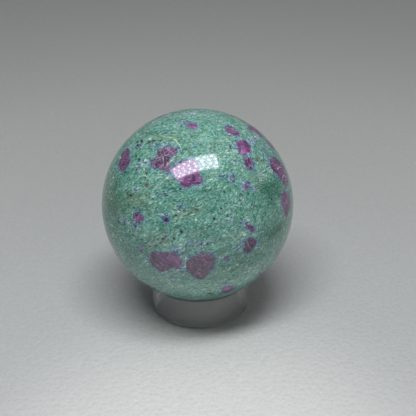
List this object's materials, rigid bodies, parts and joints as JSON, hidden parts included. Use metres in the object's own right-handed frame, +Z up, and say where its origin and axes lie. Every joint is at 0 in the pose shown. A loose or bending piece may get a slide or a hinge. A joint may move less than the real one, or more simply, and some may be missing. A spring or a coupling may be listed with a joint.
{
  "type": "ruby fuchsite kyanite sphere on a ring stand",
  "caption": "Polished ball of green mica rock with ruby crystals and blue kyanite halos, resting on a short clear ring stand.",
  "frame": {"origin": "on the surface that the stand rests on, under the middle of the ring", "axes": "+Z up through the middle of the ring and the centre of the sphere; the pictured side faces -Y"},
  "size_m": [0.061, 0.061, 0.0676],
  "materials": {
    "polished_stone": "polished opaque stone: green fuchsite with magenta ruby crystals, blue kyanite halos and dark specks",
    "clear_acrylic": "clear polished acrylic"
  },
  "bodies": {
    "root": {"stone_sphere": "polished_stone", "ring_stand": "clear_acrylic"}
  },
  "joints": []
}
